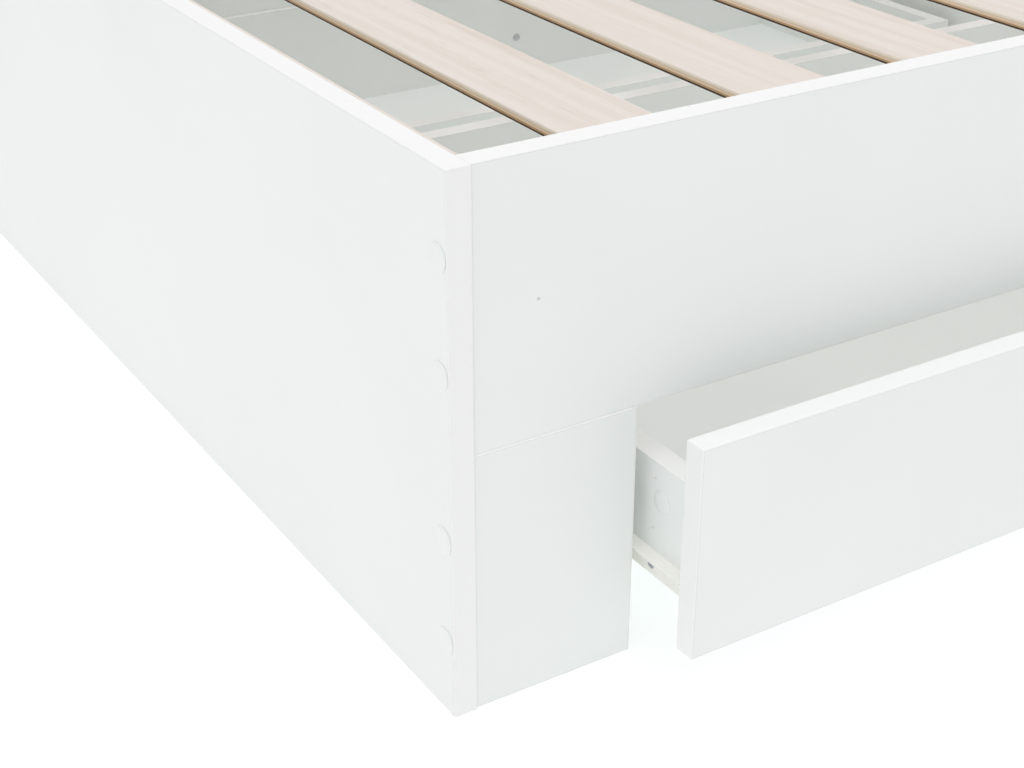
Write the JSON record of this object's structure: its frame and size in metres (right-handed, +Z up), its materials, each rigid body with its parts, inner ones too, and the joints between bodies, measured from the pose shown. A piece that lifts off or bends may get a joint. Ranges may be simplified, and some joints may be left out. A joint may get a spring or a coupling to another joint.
{
  "type": "storage bed frame",
  "caption": "Low single bed frame of flat white boards with plywood slats, and storage drawers that roll out on both long sides.",
  "frame": {"origin": "centre of the bed frame's footprint, on the floor, with the drawers left out of account", "axes": "+X towards the head end, +Y towards the right-hand side of a person lying on their back, +Z up; the drawer that stands a little open is at -X, -Y"},
  "size_m": [2.0374, 1.0535, 0.355],
  "materials": {
    "white_board": "white melamine-faced particleboard with banded edges, satin",
    "slat_plywood": "pale birch plywood, sanded and clear, brown glue lines in the edges",
    "pine_batten": "planed pine, untreated",
    "white_hardboard": "white-lacquered hardboard, matt",
    "cream_steel": "cream-white epoxy powder coat on pressed steel",
    "roller_nylon": "white nylon",
    "handle_metal": "satin, brushed lengthwise",
    "zinc_steel": "bright zinc plate",
    "cap_plastic": "white plastic cover caps, satin",
    "beech_dowel": "fluted beech, untreated"
  },
  "bodies": {
    "frame": {"footboard": "white_board", "headboard": "white_board", "left_rail": "white_board", "right_rail": "white_board", "left_foot_leg": "white_board", "left_head_leg": "white_board", "right_foot_leg": "white_board", "right_head_leg": "white_board", "foot_cross_board": "white_board", "middle_cross_board": "white_board", "head_cross_board": "white_board", "centre_board": "white_board", "left_slat_ledge": "pine_batten", "right_slat_ledge": "pine_batten", "slats": "slat_plywood", "cover_caps": "cap_plastic", "frame_screws": "zinc_steel", "wood_screws": "zinc_steel", "dowels": "beech_dowel", "cabinet_slides": "cream_steel"},
    "left_foot_drawer": {"left_foot_drawer_front": "white_board", "left_foot_drawer_outer_side": "white_board", "left_foot_drawer_inner_side": "white_board", "left_foot_drawer_back": "white_board", "left_foot_drawer_bottom": "white_hardboard", "left_foot_drawer_handle": "handle_metal", "left_foot_drawer_slides": "cream_steel", "left_foot_drawer_fasteners": "zinc_steel"},
    "left_foot_cabinet_rollers": {"left_foot_cabinet_rollers": "roller_nylon"},
    "left_foot_drawer_rollers": {"left_foot_drawer_rollers": "roller_nylon"},
    "left_head_drawer": {"left_head_drawer_front": "white_board", "left_head_drawer_outer_side": "white_board", "left_head_drawer_inner_side": "white_board", "left_head_drawer_back": "white_board", "left_head_drawer_bottom": "white_hardboard", "left_head_drawer_handle": "handle_metal", "left_head_drawer_slides": "cream_steel", "left_head_drawer_fasteners": "zinc_steel"},
    "left_head_cabinet_rollers": {"left_head_cabinet_rollers": "roller_nylon"},
    "left_head_drawer_rollers": {"left_head_drawer_rollers": "roller_nylon"},
    "right_foot_drawer": {"right_foot_drawer_front": "white_board", "right_foot_drawer_outer_side": "white_board", "right_foot_drawer_inner_side": "white_board", "right_foot_drawer_back": "white_board", "right_foot_drawer_bottom": "white_hardboard", "right_foot_drawer_handle": "handle_metal", "right_foot_drawer_slides": "cream_steel", "right_foot_drawer_fasteners": "zinc_steel"},
    "right_foot_cabinet_rollers": {"right_foot_cabinet_rollers": "roller_nylon"},
    "right_foot_drawer_rollers": {"right_foot_drawer_rollers": "roller_nylon"},
    "right_head_drawer": {"right_head_drawer_front": "white_board", "right_head_drawer_outer_side": "white_board", "right_head_drawer_inner_side": "white_board", "right_head_drawer_back": "white_board", "right_head_drawer_bottom": "white_hardboard", "right_head_drawer_handle": "handle_metal", "right_head_drawer_slides": "cream_steel", "right_head_drawer_fasteners": "zinc_steel"},
    "right_head_cabinet_rollers": {"right_head_cabinet_rollers": "roller_nylon"},
    "right_head_drawer_rollers": {"right_head_drawer_rollers": "roller_nylon"}
  },
  "joints": [
    {"name": "left_foot_drawer_slide", "type": "slide", "parent": "frame", "child": "left_foot_drawer", "axis": [0, -1, 0], "range_m": [-0.0615, 0.1635]},
    {"name": "left_foot_cabinet_roller_spin", "type": "hinge", "parent": "frame", "child": "left_foot_cabinet_rollers", "pos_m": [-0.44725, -0.436, 0.066], "axis": [1, 0, 0], "range_deg": [-442, 1172]},
    {"name": "left_foot_drawer_roller_spin", "type": "hinge", "parent": "left_foot_drawer", "child": "left_foot_drawer_rollers", "pos_m": [-0.44725, -0.2225, 0.0646], "axis": [1, 0, 0], "range_deg": [-471, 1251]},
    {"name": "left_head_drawer_slide", "type": "slide", "parent": "frame", "child": "left_head_drawer", "axis": [0, -1, 0], "range_m": [0, 0.225]},
    {"name": "left_head_cabinet_roller_spin", "type": "hinge", "parent": "frame", "child": "left_head_cabinet_rollers", "pos_m": [0.44725, -0.436, 0.066], "axis": [1, 0, 0], "range_deg": [-1, 1613]},
    {"name": "left_head_drawer_roller_spin", "type": "hinge", "parent": "left_head_drawer", "child": "left_head_drawer_rollers", "pos_m": [0.44725, -0.161, 0.0646], "axis": [1, 0, 0], "range_deg": [-1, 1720]},
    {"name": "right_foot_drawer_slide", "type": "slide", "parent": "frame", "child": "right_foot_drawer", "axis": [0, 1, 0], "range_m": [0, 0.225]},
    {"name": "right_foot_cabinet_roller_spin", "type": "hinge", "parent": "frame", "child": "right_foot_cabinet_rollers", "pos_m": [-0.44725, 0.436, 0.066], "axis": [1, 0, 0], "range_deg": [-1613, 1]},
    {"name": "right_foot_drawer_roller_spin", "type": "hinge", "parent": "right_foot_drawer", "child": "right_foot_drawer_rollers", "pos_m": [-0.44725, 0.161, 0.0646], "axis": [1, 0, 0], "range_deg": [-1720, 1]},
    {"name": "right_head_drawer_slide", "type": "slide", "parent": "frame", "child": "right_head_drawer", "axis": [0, 1, 0], "range_m": [0, 0.225]},
    {"name": "right_head_cabinet_roller_spin", "type": "hinge", "parent": "frame", "child": "right_head_cabinet_rollers", "pos_m": [0.44725, 0.436, 0.066], "axis": [1, 0, 0], "range_deg": [-1613, 1]},
    {"name": "right_head_drawer_roller_spin", "type": "hinge", "parent": "right_head_drawer", "child": "right_head_drawer_rollers", "pos_m": [0.44725, 0.161, 0.0646], "axis": [1, 0, 0], "range_deg": [-1720, 1]}
  ],
  "couplings": [
    {"joint": "left_foot_cabinet_roller_spin", "follows": "left_foot_drawer_slide", "rad_per_m": 125},
    {"joint": "left_foot_drawer_roller_spin", "follows": "left_foot_drawer_slide", "rad_per_m": 133.33},
    {"joint": "left_head_cabinet_roller_spin", "follows": "left_head_drawer_slide", "rad_per_m": 125},
    {"joint": "left_head_drawer_roller_spin", "follows": "left_head_drawer_slide", "rad_per_m": 133.33},
    {"joint": "right_foot_cabinet_roller_spin", "follows": "right_foot_drawer_slide", "rad_per_m": -125},
    {"joint": "right_foot_drawer_roller_spin", "follows": "right_foot_drawer_slide", "rad_per_m": -133.33},
    {"joint": "right_head_cabinet_roller_spin", "follows": "right_head_drawer_slide", "rad_per_m": -125},
    {"joint": "right_head_drawer_roller_spin", "follows": "right_head_drawer_slide", "rad_per_m": -133.33}
  ]
}
